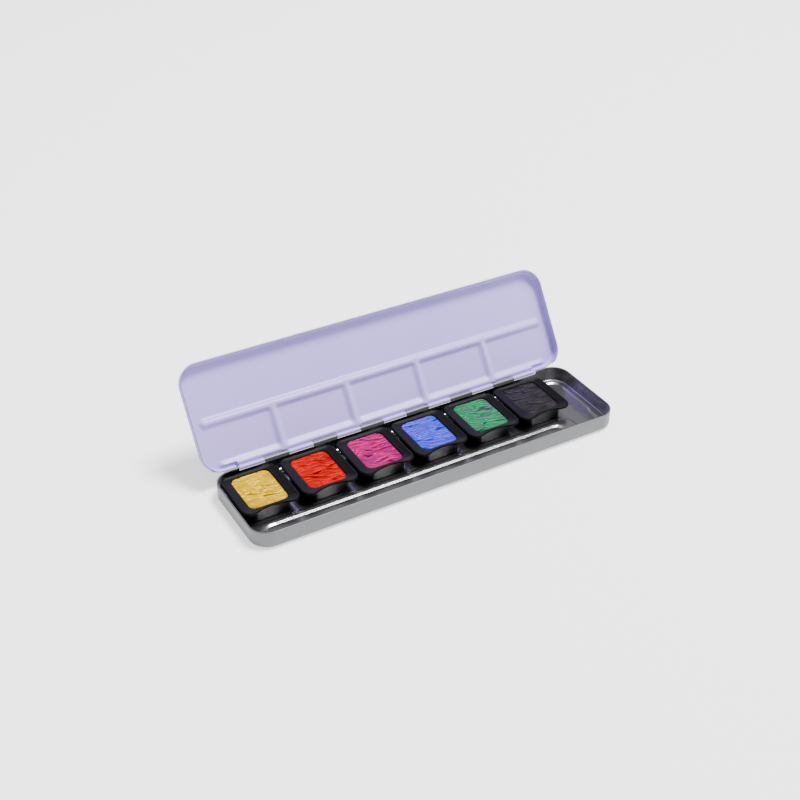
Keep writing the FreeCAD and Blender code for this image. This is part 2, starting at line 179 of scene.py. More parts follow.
def ring(length, width, radius, corner, end, side, breaks=(), middle_y=0.0):
    """Points round a rounded rectangle, anticlockwise from the front right corner. Each corner is
    a quarter circle in even angles; between two corners the points run straight, evenly, and the
    long sides also have a point at each x in breaks. Rings with the same counts match point for
    point."""
    run_x = length / 2 - radius
    run_y = width / 2 - radius
    centres = np.array([(run_x, -run_y), (run_x, run_y), (-run_x, run_y), (-run_x, -run_y)])
    ends = (np.linspace(-1, 1, end + 2)[1:-1] + 1) / 2
    sides = np.linspace(-1, 1, side + 2)[1:-1]
    sides = (np.sort(np.concatenate([sides, np.array(breaks) / run_x])) + 1) / 2
    # Shares of the way along the right end, the back, the left end and the front.
    shares = (ends, 1 - sides[::-1], ends, sides)
    parts = []
    for k, centre in enumerate(centres):
        angle = (k - 1 + np.linspace(0, 1, corner + 1)) * TURN / 4
        parts.append(centre + radius * np.stack([np.cos(angle), np.sin(angle)], axis=1))
        step = centres[(k + 1) % 4] - centre
        parts.append(parts[-1][-1] + step * shares[k][:, None])
    points = np.concatenate(parts)
    points[:, 1] += middle_y
    return points


def stack_rings(rings, heights):
    """A grid of 3-D points from flat rings and their heights, each a number or one for each
    point."""
    layers = [
        np.column_stack([flat, np.broadcast_to(height, len(flat))])
        for flat, height in zip(rings, heights)
    ]
    return np.stack(layers)


def smooth_step(value, start, stop):
    """0 before start, 1 after stop, and between them 3t^2 - 2t^3."""
    share = np.clip((value - start) / (stop - start), 0, 1)
    return share * share * (3 - 2 * share)


def inside_distance(x, y, middle, size, radius):
    """Signed distance to a rounded rectangle, negative inside: the length of what sticks out past
    the corner's centre, less the corner's radius."""
    across = np.abs(x - middle[0]) - size[0] / 2 + radius
    up = np.abs(y - middle[1]) - size[1] / 2 + radius
    outside = np.hypot(np.maximum(across, 0), np.maximum(up, 0))
    return outside + np.minimum(np.maximum(across, up), 0) - radius


def blend_low(a, b, soft):
    """The lower of two fields with a round join: a polynomial soft minimum."""
    share = np.clip(0.5 + 0.5 * (b - a) / soft, 0, 1)
    return b + (a - b) * share - soft * share * (1 - share)


def joined(a, b):
    """Two rises, each from 0 to 1, joined smoothly as 1 - (1 - a)(1 - b): level where both are
    0."""
    return 1 - (1 - a) * (1 - b)


def inward_rings(edge, spine, shares):
    """Rings from an edge in to a spine line along X: each point goes straight to the spine's
    nearest place, by each share of the way."""
    middle = np.full(len(edge), edge[:, 1].mean())
    target = np.column_stack([np.clip(edge[:, 0], -spine, spine), middle])
    return [edge + (target - edge) * share for share in shares]


def bead(path, outward, radius):
    """A round bead along a path: each section is a circle across the outward direction and up."""
    angle = np.arange(16) * TURN / 16
    circle = radius * np.stack([np.cos(angle), np.sin(angle)], axis=1)
    up = np.array((0.0, 0.0, 1.0))
    section = circle[None, :, :1] * outward[:, None, :] + circle[None, :, 1:] * up
    points = path[:, None, :] + section
    return points.reshape(-1, 3), closed_stack(*points.shape[:2])


def open_lid(points):
    """Turns points of the closed lid back about the hinge pin to its open rest."""
    points = np.array(points, dtype=float)
    y = points[..., 1] - PIN[0]
    z = points[..., 2] - PIN[1]
    turn = -LID_OPEN
    points[..., 1] = PIN[0] + y * math.cos(turn) - z * math.sin(turn)
    points[..., 2] = PIN[1] + y * math.sin(turn) + z * math.cos(turn)
    return points


# --- materials ---------------------------------------------------------------------------------

def linear(colour):
    """An sRGB hex colour as linear numbers."""
    levels = [int(colour[i:i + 2], 16) / 255 for i in (1, 3, 5)]
    return (*[v / 12.92 if v <= 0.04045 else ((v + 0.055) / 1.055) ** 2.4 for v in levels], 1.0)


def add(tree, kind, settings, links=()):
    """One node. settings are its inputs or properties by name, and links are (output, input)
    pairs."""
    node = tree.nodes.new(kind)
    for name, value in settings.items():
        if name in node.inputs:
            node.inputs[name].default_value = value
        else:
            setattr(node, name, value)
    for output, name in links:
        tree.links.new(output, node.inputs[name])
    return node


def new_material(name, **settings):
    """A material with one Principled shader, its plain values set on the shader. Gives back the
    material, its node tree and the shader."""
    material = bpy.data.materials.new(name)
    material.use_nodes = True
    shader = material.node_tree.nodes["Principled BSDF"]
    for socket, value in settings.items():
        shader.inputs[socket.replace("_", " ")].default_value = value
    return material, material.node_tree, shader


def per_mm(size):
    """The scale of a noise whose features are size millimetres across, on Object coordinates."""
    return 1 / (size * MM)


def stoved_enamel():
    """Stoving enamel, sprayed on tinplate and baked: pale lilac, a satin gloss with faint orange
    peel."""
    material, tree, shader = new_material("stoved_enamel", IOR=1.5)
    place = add(tree, "ShaderNodeTexCoord", {})
    peel = add(
        tree, "ShaderNodeTexNoise", {"Scale": per_mm(1.6), "Detail": 2.0},
        [(place.outputs["Object"], "Vector")],
    )
    cloud = add(
        tree, "ShaderNodeTexNoise", {"Scale": per_mm(30), "Detail": 1.0},
        [(place.outputs["Object"], "Vector")],
    )
    tint = add(tree, "ShaderNodeMix", {"data_type": "RGBA"}, [(cloud.outputs["Fac"], "Factor")])
    tint.inputs["A"].default_value = linear("#AF9FE6")
    tint.inputs["B"].default_value = linear("#B5A5EA")
    tree.links.new(tint.outputs["Result"], shader.inputs["Base Color"])
    rough = add(
        tree, "ShaderNodeMapRange", {"To Min": 0.34, "To Max": 0.42},
        [(peel.outputs["Fac"], "Value")],
    )
    tree.links.new(rough.outputs["Result"], shader.inputs["Roughness"])
    bump = add(
        tree, "ShaderNodeBump", {"Strength": 0.12, "Distance": 0.02 * MM},
        [(peel.outputs["Fac"], "Height")],
    )
    tree.links.new(bump.outputs["Normal"], shader.inputs["Normal"])
    return material


def silver_lacquer():
    """Silver lacquer, rolled on tinplate and stoved: satin, with fine aluminium flake."""
    material, tree, shader = new_material("silver_lacquer", Metallic=0.55)
    place = add(tree, "ShaderNodeTexCoord", {})
    flake = add(
        tree, "ShaderNodeTexVoronoi", {"Scale": per_mm(0.35)},
        [(place.outputs["Object"], "Vector")],
    )
    spread = add(tree, "ShaderNodeSeparateColor", {}, [(flake.outputs["Color"], "Color")])
    tint = add(
        tree, "ShaderNodeMix", {"data_type": "RGBA"},
        [(spread.outputs["Red"], "Factor")],
    )
    tint.inputs["A"].default_value = linear("#606265")
    tint.inputs["B"].default_value = linear("#6A6C6E")
    tree.links.new(tint.outputs["Result"], shader.inputs["Base Color"])
    rough = add(
        tree, "ShaderNodeMapRange", {"To Min": 0.38, "To Max": 0.48},
        [(spread.outputs["Green"], "Value")],
    )
    tree.links.new(rough.outputs["Result"], shader.inputs["Roughness"])
    return material


def bright_tinplate():
    """Bright tinplate under clear lacquer, rolled along the sheet: mirror-like, with faint long
    streaks."""
    material, tree, shader = new_material("bright_tinplate", Metallic=1.0)
    place = add(tree, "ShaderNodeTexCoord", {})
    squeeze = add(
        tree, "ShaderNodeMapping", {"Scale": (0.04, 1.0, 1.0)},
        [(place.outputs["Object"], "Vector")],
    )
    streak = add(
        tree, "ShaderNodeTexNoise", {"Scale": per_mm(0.5), "Detail": 3.0},
        [(squeeze.outputs["Vector"], "Vector")],
    )
    tint = add(
        tree, "ShaderNodeMix", {"data_type": "RGBA"},
        [(streak.outputs["Fac"], "Factor")],
    )
    tint.inputs["A"].default_value = linear("#A09FA2")
    tint.inputs["B"].default_value = linear("#B2B1B4")
    tree.links.new(tint.outputs["Result"], shader.inputs["Base Color"])
    rough = add(
        tree, "ShaderNodeMapRange", {"To Min": 0.2, "To Max": 0.28},
        [(streak.outputs["Fac"], "Value")],
    )
    tree.links.new(rough.outputs["Result"], shader.inputs["Roughness"])
    bump = add(
        tree, "ShaderNodeBump", {"Strength": 0.06, "Distance": 0.01 * MM},
        [(streak.outputs["Fac"], "Height")],
    )
    tree.links.new(bump.outputs["Normal"], shader.inputs["Normal"])
    return material


def black_polypropylene():
    """Black polypropylene, moulded against a spark-eroded tool: satin with a fine grain."""
    material, tree, shader = new_material(
        "black_polypropylene", IOR=1.49, Specular_IOR_Level=0.08
    )
    place = add(tree, "ShaderNodeTexCoord", {})
    grain = add(
        tree, "ShaderNodeTexNoise", {"Scale": per_mm(0.25), "Detail": 3.0},
        [(place.outputs["Object"], "Vector")],
    )
    tint = add(tree, "ShaderNodeMix", {"data_type": "RGBA"}, [(grain.outputs["Fac"], "Factor")])
    tint.inputs["A"].default_value = linear("#0A0A0A")
    tint.inputs["B"].default_value = linear("#111112")
    tree.links.new(tint.outputs["Result"], shader.inputs["Base Color"])
    rough = add(
        tree, "ShaderNodeMapRange", {"To Min": 0.36, "To Max": 0.5},
        [(grain.outputs["Fac"], "Value")],
    )
    tree.links.new(rough.outputs["Result"], shader.inputs["Roughness"])
    bump = add(
        tree, "ShaderNodeBump", {"Strength": 0.2, "Distance": 0.015 * MM},
        [(grain.outputs["Fac"], "Height")],
    )
    tree.links.new(bump.outputs["Normal"], shader.inputs["Normal"])
    return material


def drawn_wire():
    """Bright drawn steel wire, with fine scratches along it."""
    material, tree, shader = new_material("drawn_steel_wire", Metallic=1.0)
    place = add(tree, "ShaderNodeTexCoord", {})
    squeeze = add(
        tree, "ShaderNodeMapping", {"Scale": (0.03, 1.0, 1.0)},
        [(place.outputs["Object"], "Vector")],
    )
    scratch = add(
        tree, "ShaderNodeTexNoise", {"Scale": per_mm(0.1), "Detail": 2.0},
        [(squeeze.outputs["Vector"], "Vector")],
    )
    tint = add(
        tree, "ShaderNodeMix", {"data_type": "RGBA"},
        [(scratch.outputs["Fac"], "Factor")],
    )
    tint.inputs["A"].default_value = linear("#A9A9AC")
    tint.inputs["B"].default_value = linear("#C4C4C8")
    tree.links.new(tint.outputs["Result"], shader.inputs["Base Color"])
    rough = add(
        tree, "ShaderNodeMapRange", {"To Min": 0.25, "To Max": 0.4},
        [(scratch.outputs["Fac"], "Value")],
    )
    tree.links.new(rough.outputs["Result"], shader.inputs["Roughness"])
    return material


# Each paint: a dark colour for its creases, painted shade; its body colour; a pale colour for its
# crests, painted highlight; and a second hue of its pearl sheen, painted in patches.
PAINT_COLOURS = {
    "yellow": ("#623C00", "#B08400", "#DAB400", "#B09000"),
    "red": ("#440101", "#8C0503", "#B6160A", "#960A08"),
    "pink": ("#32021A", "#7A0A40", "#B42268", "#741A5A"),
    "blue": ("#0E1254", "#2228A0", "#4052D4", "#522C96"),
    "green": ("#06221A", "#124C34", "#268454", "#44464E"),
    "charcoal": ("#060507", "#181719", "#353136", "#221D23"),
}


def pearl_watercolour(name, crease_shade_colour, body, crest_highlight_colour, painted_sheen_tint):
    """Watercolour with mica flake, poured and dried in the pan: a satin pearl sheen, with painted
    shade darkening the shrinkage creases and painted highlight paling the crests, as the relief
    attribute gives them."""
    material, tree, shader = new_material(
        f"pearl_watercolour_{name}", Metallic=0.5, Specular_IOR_Level=0.0
    )
    relief = add(tree, "ShaderNodeAttribute", {"attribute_name": "relief"})
    place = add(tree, "ShaderNodeTexCoord", {})
    squeeze = add(
        tree, "ShaderNodeMapping", {"Scale": (0.35, 1.0, 1.0)},
        [(place.outputs["Object"], "Vector")],
    )
    drag = add(
        tree, "ShaderNodeTexNoise", {"Scale": per_mm(3.0), "Detail": 4.0},
        [(squeeze.outputs["Vector"], "Vector")],
    )
    flake = add(
        tree, "ShaderNodeTexNoise", {"Scale": per_mm(0.3), "Detail": 2.0},
        [(place.outputs["Object"], "Vector")],
    )
    # Painted shade and highlight: the relief ramps the colour from a dark crease colour to a pale
    # crest colour.
    ramp = add(tree, "ShaderNodeValToRGB", {}, [(relief.outputs["Fac"], "Fac")])
    stops = ramp.color_ramp.elements
    stops[0].color = linear(crease_shade_colour)
    stops[1].color = linear(crest_highlight_colour)
    middle = stops.new(0.5)
    middle.color = linear(body)
    # Painted sheen: the pearl sheen's second hue is mixed in as a fixed colour, in patches along
    # the drag.
    share = add(
        tree, "ShaderNodeMapRange", {"From Min": 0.48, "From Max": 0.66, "To Max": 0.85},
        [(drag.outputs["Fac"], "Value")],
    )
    tint = add(
        tree, "ShaderNodeMix", {"data_type": "RGBA"},
        [(share.outputs["Result"], "Factor"), (ramp.outputs["Color"], "A")],
    )
    tint.inputs["B"].default_value = linear(painted_sheen_tint)
    tree.links.new(tint.outputs["Result"], shader.inputs["Base Color"])
    rough = add(
        tree, "ShaderNodeMapRange", {"To Min": 0.36, "To Max": 0.54},
        [(flake.outputs["Fac"], "Value")],
    )
    tree.links.new(rough.outputs["Result"], shader.inputs["Roughness"])
    bump = add(
        tree, "ShaderNodeBump", {"Strength": 0.3, "Distance": 0.03 * MM},
        [(flake.outputs["Fac"], "Height")],
    )
    tree.links.new(bump.outputs["Normal"], shader.inputs["Normal"])
    return material


enamel = stoved_enamel()
lacquer = silver_lacquer()
tinplate = bright_tinplate()
plastic = black_polypropylene()
wire = drawn_wire()


# --- base tray ---------------------------------------------------------------------------------

# Widths of the ledge in front of the bay, at each end and at the back.
PANEL_FRONT = 6.5
PANEL_END = 4.2
BACK_LEDGE = 4.1
PANEL_BACK = TRAY_WIDTH / 2 - BACK_LEDGE
PANEL_SLOPE = 1.7
PANEL_CORNER = 5.0
TROUGH_SIZE = (194.0, 11.0)
TROUGH_MIDDLE = (-9.0, TROUGH_SIZE[1] / 2 - TRAY_WIDTH / 2 + PANEL_FRONT)
TROUGH_WALL = 0.45
# Where extra rings lie across each long wall of the trough, from its edge.
TROUGH_RINGS = (-0.7, -0.5, -0.3, -0.1, 0.1, 0.3, 0.7)
LIP = 2.4
LIP_CROWN = 0.28
LIP_SPREAD = 2.0
BAY_LENGTH = 16.8


def floor_height(x, y):
    """The pressed floor: ledge height, less a smooth drop inside each panel's outline. The main
    panel and the bay at the right end join with a round inner corner. The brush trough is a long
    oval with a steep wall, and the lip round it bends down towards it, ever more steeply, as
    exp(-distance)."""
    front = TROUGH_MIDDLE[1] + TROUGH_SIZE[1] / 2 + LIP
    half = TRAY_LENGTH / 2 - PANEL_END
    main_middle = (0, (PANEL_BACK + front) / 2)
    main = inside_distance(x, y, main_middle, (2 * half, PANEL_BACK - front), PANEL_CORNER)
    low = PANEL_FRONT - TRAY_WIDTH / 2
    bay_middle = (half - BAY_LENGTH / 2, (PANEL_BACK + low) / 2)
    bay = inside_distance(x, y, bay_middle, (BAY_LENGTH, PANEL_BACK - low), PANEL_CORNER)
    trough = inside_distance(x, y, TROUGH_MIDDLE, TROUGH_SIZE, TROUGH_SIZE[1] / 2 - 0.01)
    panel = blend_low(main, bay, PANEL_CORNER)
    crown = LIP_CROWN * np.exp(-np.maximum(trough, 0) / LIP_SPREAD)
    wall = (PANEL_DROP - LIP_CROWN) * smooth_step(-trough, 0, TROUGH_WALL)
    return LEDGE - PANEL_DROP * smooth_step(-panel, 0, PANEL_SLOPE) - (crown + wall)


def tray_wall():
    """The drawn tray: down the wall, round the foot, then in over the pressed floor to the middle
    line, on both faces of the sheet. The back wall stops lower along the hinge."""

    def inset(distance):
        return ring(
            TRAY_LENGTH - 2 * distance, TRAY_WIDTH - 2 * distance, TRAY_CORNER - distance,
            **WALL_COUNTS,
        )

    # Rings crowd together where the trough's long walls are.
    run = TRAY_WIDTH / 2 - FOOT_RADIUS
    walls = [
        (distance - FOOT_RADIUS + offset) / run
        for distance in (PANEL_FRONT, PANEL_FRONT + TROUGH_SIZE[1])
        for offset in TROUGH_RINGS
    ]
    shares = np.unique(np.concatenate([np.linspace(0, 1, 53)[1:], walls]))

    def face(depth):
        wall = inset(depth)
        at_hinge = (np.abs(wall[:, 0]) < STEP) & (wall[:, 1] > 0)
        mouth = np.where(at_hinge, WALL_CUT, TRAY_HEIGHT - HEM)
        foot = FOOT_RADIUS - depth
        start = LEDGE - SHEET + FOOT_RADIUS
        layers = [(wall, mouth + (start - mouth) * share) for share in (0.0, 0.3, 0.65, 1.0)]
        for angle in np.linspace(0, TURN / 4, 7)[1:]:
            flat = inset(depth + foot * (1 - math.cos(angle)))
            layers.append((flat, start - foot * math.sin(angle)))
        for flat in inward_rings(layers[-1][0], (TRAY_LENGTH - TRAY_WIDTH) / 2, shares):
            layers.append((flat, floor_height(flat[:, 0], flat[:, 1]) - SHEET + depth))
        return layers

    return sheet_wall("tray_wall", face(0.0), face(SHEET), lacquer, tinplate)


def open_path(points, start_x):
    """The part of a ring that goes round the front from one end of the hinge to the other, with
    the outward direction at each point. It starts at the left end of the hinge."""
    back = np.flatnonzero((points[:, 1] > 0) & (np.abs(points[:, 0]) < start_x))
    kept = np.concatenate([np.arange(back[-1] + 1, len(points)), np.arange(back[0])])
    path = points[kept]
    along = np.gradient(path, axis=0)
    along /= np.linalg.norm(along, axis=1)[:, None]
    return path, np.column_stack([along[:, 1], -along[:, 0]])


def tray_hem():
    """Rolled hem: a round bead along the rim, from one end of the hinge round the front to the
    other. It stops just short of the hinge's stretch, so that the shut lid's step passes it."""
    edge = STEP + HEM_CLEARANCE
    middle = ring(
        TRAY_LENGTH - 2 * HEM, TRAY_WIDTH - 2 * HEM, TRAY_CORNER - HEM,
        **BEAD_COUNTS, breaks=(-edge, edge),
    )
    path, outward = open_path(middle, edge - 0.01)
    path = np.column_stack([path, np.full(len(path), TRAY_HEIGHT - HEM)])
    outward = np.column_stack([outward, np.zeros(len(outward))])
    points, faces = bead(path, outward, HEM)
    return face_outwards(new_piece("tray_hem", points, faces, [lacquer]))


def curl(start, turn):
    """Section of a knuckle in the YZ plane: the sheet leaves its wall at start, meets the circle
    round the pin at its front side and follows it through turn, and half the sheet stands each
    side."""
    angle = TURN / 2 + np.linspace(0, turn, 40)
    arc = PIN + CURL_RADIUS * np.stack([np.cos(angle), np.sin(angle)], axis=1)
    line = np.concatenate([np.array(start), arc])
    along = np.gradient(line, axis=0)
    along /= np.linalg.norm(along, axis=1)[:, None]
    across = np.column_stack([-along[:, 1], along[:, 0]]) * SHEET / 2
    return np.concatenate([line + across, (line - across)[::-1]])


def knuckle_row(name, section, numbers, material, move=None):
    """The same curled section carried across each numbered knuckle's width, as one piece."""
    points = []
    faces = []
    count = len(section)
    half = (KNUCKLE_PITCH - KNUCKLE_GAP) / 2
    for number in numbers:
        middle = (number - (KNUCKLES - 1) / 2) * KNUCKLE_PITCH
        first = len(points) * count
        for x in (middle - half, middle + half):
            points.append(np.column_stack([np.full(count, x), section]))
        faces += closed_stack(2, count, first)
    points = np.concatenate(points)
    points = move(points) if move else points
    row = face_outwards(new_piece(name, points, faces, [material]))
    row.data.polygons.foreach_set("use_smooth", [len(p.vertices) == 4 for p in row.data.polygons])
    return row


tray = tray_wall()
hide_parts("base_tray")
wall_middle = TRAY_WIDTH / 2 - SHEET / 2
base_curl = curl([(wall_middle, WALL_CUT - CURL_ROOT), (wall_middle, WALL_CUT)], -CURL_TURN)
hem = tray_hem()
tray_knuckles = knuckle_row("tray_knuckles", base_curl, range(1, KNUCKLES, 2), lacquer)
for piece in (tray, hem, tray_knuckles):
    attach(piece, "base")


# --- lid ---------------------------------------------------------------------------------------

RIDGE_RISE = 1.9
RIDGE_Y = 2.7
RIDGE_HALF_LENGTH = 114.0
RIDGE_FOOT = 3.6
RIDGE_CREST = 0.25
DIVIDERS = 4
DIVIDER_PITCH = 46.6
DIVIDER_FOOT = 3.2
DIVIDER_CREST = 0.2
# The hinge-side shelf: where it starts to rise, stands level, starts to fall and ends, and where
# it starts to fall and ends beyond the ends of the hinge.
SHELF = (24.0, 28.3, 28.4, 29.8)
SHELF_FALL_AT_ENDS = (26.9, 28.2)
SHELF_HALF_LENGTH = 110.0
SHELF_TAPER = 4.0
# The part of the rise that is left where the plate turns into the hinge strip.
STRIP_SHARE = 0.55
EDGE_RADIUS = 1.65
STRIP_RADIUS = 0.36
STRIP_CLEARANCE = 0.85
# The rim's cut-back at the back corners: where it starts, its length, and the height it climbs
# to.
CUT_START = 27.7
CUT_RUN = 1.7
CUT_TOP = 8.4
BEAD_END = 29.4


def segment_distance(x, y, start, end):
    """Distance to a straight line between two points."""
    step = np.subtract(end, start)
    share = ((x - start[0]) * step[0] + (y - start[1]) * step[1]) / (step @ step)
    share = np.clip(share, 0, 1)
    return np.hypot(x - start[0] - share * step[0], y - start[1] - share * step[1])


def plate_height(x, y):
    """The lid's plate, seen from inside: level, with the ridges and the hinge-side shelf pressed
    towards the pans. Where they meet, their rises join smoothly, like a fillet."""
    reach = RIDGE_HALF_LENGTH - RIDGE_FOOT
    ridge = segment_distance(x, y, (-reach, RIDGE_Y), (reach, RIDGE_Y))
    rise = 1 - smooth_step(ridge, RIDGE_CREST, RIDGE_FOOT)
    for number in range(DIVIDERS):
        across = (number - (DIVIDERS - 1) / 2) * DIVIDER_PITCH
        divider = segment_distance(x, y, (across, RIDGE_Y), (across, SHELF[1]))
        rise = joined(rise, 1 - smooth_step(divider, DIVIDER_CREST, DIVIDER_FOOT))
    at_hinge = np.abs(x) < HINGE_HALF
    up = smooth_step(y, SHELF[0], SHELF[1])
    at_strip = 1 - (1 - STRIP_SHARE) * smooth_step(y, SHELF[2], SHELF[3])
    at_ends = 1 - smooth_step(y, *SHELF_FALL_AT_ENDS)
    shelf = up * np.where(at_hinge, at_strip, at_ends)
    taper = smooth_step(np.abs(x), SHELF_HALF_LENGTH - SHELF_TAPER, SHELF_HALF_LENGTH)
    shelf = shelf * (1 - taper)
    return PLATE_UNDER - RIDGE_RISE * joined(rise, shelf)


def skirt_edge(x, y):
    """Height of the lid wall's lower edge: the rim, with the back corners cut back to a slope and
    the hinge's stretch cut short above the knuckles."""
    slope = LID_RIM + (CUT_TOP - LID_RIM) * np.clip((y - CUT_START) / CUT_RUN, 0, 1)
    at_hinge = (np.abs(x) < STEP) & (y > 0)
    return np.where(at_hinge, PIN[1] + STRIP_CLEARANCE, slope)


def lid_wall():
    """The drawn lid, closed and then swung open: from the rim up the wall, round the edge and in
    over the pressed plate to the middle line, on both faces of the sheet. Along the hinge the
    wall steps in to meet the knuckles."""
    strip_back = PIN[0] - CURL_RADIUS + SHEET / 2
    shares = np.linspace(0, 1, 73)[1:]

    def inset(distance, at_strip):
        flat = ring(
            LID_LENGTH - 2 * distance, LID_WIDTH - 2 * distance, LID_CORNER - distance,
            **WALL_COUNTS,
        )
        at_hinge = (np.abs(flat[:, 0]) < STEP) & (flat[:, 1] > 0)
        flat[:, 1] = np.where(at_hinge, strip_back - at_strip, flat[:, 1])
        return flat, at_hinge

    def face(depth):
        wall, at_hinge = inset(depth, depth)
        radius = np.where(at_hinge, STRIP_RADIUS, EDGE_RADIUS)
        level = PLATE_UNDER + SHEET - np.where(at_hinge, RIDGE_RISE * STRIP_SHARE, 0.0)
        start = level - radius
        low = np.minimum(skirt_edge(wall[:, 0], wall[:, 1]), start - 0.02)
        layers = [(wall, low + (start - low) * share) for share in (0.0, 0.5, 1.0)]
        for angle in np.linspace(0, TURN / 4, 8)[1:]:
            turn = 1 - math.cos(angle)
            flat, _ = inset(
                depth + (EDGE_RADIUS - depth) * turn, depth + (STRIP_RADIUS - depth) * turn
            )
            layers.append((flat, start + (radius - depth) * math.sin(angle)))
        for flat in inward_rings(layers[-1][0], (LID_LENGTH - LID_WIDTH) / 2, shares):
            layers.append((flat, plate_height(flat[:, 0], flat[:, 1]) + SHEET - depth))
        return layers

    return sheet_wall("lid_wall", face(0.0), face(SHEET), lacquer, enamel, open_lid)


def lid_bead():
    """Curled rim: a round bead round the lid's open edge, dropping away at the cut-back
    corners."""
    middle = ring(LID_LENGTH, LID_WIDTH, LID_CORNER, **BEAD_COUNTS)
    path, outward = open_path(middle, STEP)
    kept = path[:, 1] < BEAD_END
    path, outward = path[kept], outward[kept]
    slope = skirt_edge(path[:, 0], path[:, 1])
    path = np.column_stack([path, slope + LID_BEAD])
    outward = np.column_stack([outward, np.zeros(len(outward))])
    points, faces = bead(path, outward, LID_BEAD)
    return face_outwards(new_piece("lid_bead", open_lid(points), faces, [enamel]))


lid = lid_wall()
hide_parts("lid")
strip_middle = PIN[0] - CURL_RADIUS
lid_curl = curl([(strip_middle, PIN[1] + height) for height in LID_ROOT], CURL_TURN)
rim = lid_bead()
lid_knuckles = knuckle_row("lid_knuckles", lid_curl, range(0, KNUCKLES, 2), enamel, open_lid)
for piece in (lid, rim, lid_knuckles):
    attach(piece, "cover")

pin = frame["nodes"]["hinge_pin"]
pin.data.materials.clear()
pin.data.materials.append(wire)


# --- pans and paints ---------------------------------------------------------------------------

FLANGE = (34.1, 35.5, 5.0)
FLANGE_THICKNESS = 1.6
WINDOW = (23.0, 29.0, 3.8)
WINDOW_SHIFT = 0.45
CUP_WALL = 0.9
CUP_DRAFT = 0.12
CUP_FLOOR = 1.2
NOTCH_RADIUS = 26.0
NOTCH_DEPTH = 2.1
NOTCH_JOIN = 0.9
LEAST_CORNER = 0.3
# How far the last ring stands from the middle line, where a flat face closes it.
POLE = 0.35
# The flange's top from the window outwards, as (inset, depth below the top): a small step down at
# the window, then a fine raised rim.
WINDOW_LIP = ((0.0, 0.45), (-0.1, 0.35), (-0.3, 0.25))
FLANGE_RIM = ((1.35, 0.25), (1.1, 0.0), (0.75, 0.0))
FLANGE_EDGE = 0.6
FLANGE_CHAMFER = 0.2
CUP_ROOT = 0.5
CUP_FOOT = 0.3
PAN_COUNTS = {"corner": 12, "end": 22, "side": 22}
CAKE_COUNTS = {"corner": 16, "end": 66, "side": 50}


def pan_ring(size, inset, notched=False, shift=0.0):
    """A pan outline, moved in by inset and back by shift. A notched one has its front edge pushed
    back, with a soft join, to a circle whose centre stands out in front of the pan."""
    length, width, radius = size
    corner = max(radius - inset, LEAST_CORNER)
    flat = ring(length - 2 * inset, width - 2 * inset, corner, middle_y=shift, **PAN_COUNTS)
    if notched:
        centre = NOTCH_DEPTH - width / 2 - NOTCH_RADIUS
        reach = NOTCH_RADIUS + inset
        arc = centre + np.sqrt(np.maximum(reach ** 2 - flat[:, 0] ** 2, 1.0))
        pushed = -blend_low(-flat[:, 1], -arc, NOTCH_JOIN)
        flat[:, 1] = np.where(flat[:, 1] < 0, pushed, flat[:, 1])
    return flat


def pan_shell(colour):
    """Moulded pan: from the cup's inner floor up the window wall, out over the flange with its
    fine raised rim, round the edge, and under it down the drafted cup to a flat bottom."""
    low, high = (in_mm(c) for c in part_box(f"pan_shell_{colour}"))
    top = high[2] - low[2]
    under = top - FLANGE_THICKNESS
    cup = (WINDOW[0] + 2 * CUP_WALL, WINDOW[1] + 2 * CUP_WALL, WINDOW[2] + CUP_WALL)

    def window(inset, height):
        return pan_ring(WINDOW, inset, shift=WINDOW_SHIFT), height

    def wall(inset, height):
        return pan_ring(cup, inset, shift=WINDOW_SHIFT), height

    def flange(inset, height):
        return pan_ring(FLANGE, inset, notched=True), height

    layers = [window(WINDOW[0] / 2 - POLE, CUP_FLOOR), window(0.0, CUP_FLOOR)]
    layers += [window(inset, top - depth) for inset, depth in WINDOW_LIP]
    layers += [flange(inset, top - depth) for inset, depth in FLANGE_RIM]
    for angle in np.linspace(0, TURN / 4, 5)[1:]:
        inset = FLANGE_EDGE * (1 - math.sin(angle))
        layers.append(flange(inset, top - FLANGE_EDGE * (1 - math.cos(angle))))
    layers += [flange(0.0, under + FLANGE_CHAMFER), flange(FLANGE_CHAMFER, under)]
    layers += [wall(-CUP_ROOT, under), wall(0.0, under - CUP_ROOT)]
    layers += [wall(CUP_DRAFT, CUP_FOOT), wall(CUP_DRAFT + CUP_FOOT, 0.0)]
    layers += [wall(cup[0] / 2 - POLE, 0.0)]
    points = stack_rings(*zip(*layers))
    middle = np.array([(low[0] + high[0]) / 2, (low[1] + high[1]) / 2, low[2]])
    points = points + middle
    faces = closed_stack(*points.shape[:2])
    return face_outwards(new_piece(f"{colour}_pan", points.reshape(-1, 3), faces, [plastic]))


# Wave fields: what is added to the seed, how many waves, their usual length in millimetres, their
# lean off X in radians, and how widely the lean varies.
BEND = (50, 10, 15.0, 0.9, 1.2)
FOLDS = (0, 16, 4.8, -0.17, 0.09)
WRINKLES = (20, 16, 2.4, -0.15, 0.12)
PATCHES = (70, 8, 12.0, 0.5, 1.5)
# How far the bend drags the folds along, in millimetres.
DRAG = 0.55
# A crease lies where a wave field is within its width of zero. Its depth is the first number, plus
# the second times the patch field. The relief where there is none is a little under 1.
FOLD_WIDTH = 0.55
WRINKLE_WIDTH = 0.6
FOLD_DEPTH = (0.6, 0.3)
WRINKLE_DEPTH = (0.34, -0.16)
UNCREASED = 0.92
# The cake's edge in millimetres, and the relief and share with which its rim covers the creases.
RELIEF_HEIGHT = 0.45
CAKE_SIDE = 0.6
RIM_REACH = 0.7
RIM_HEIGHT = 0.1
CAKE_EDGE = 0.35
EDGE_FALL = 0.5
RIM_RELIEF = 0.9
RIM_SHARE = 0.7


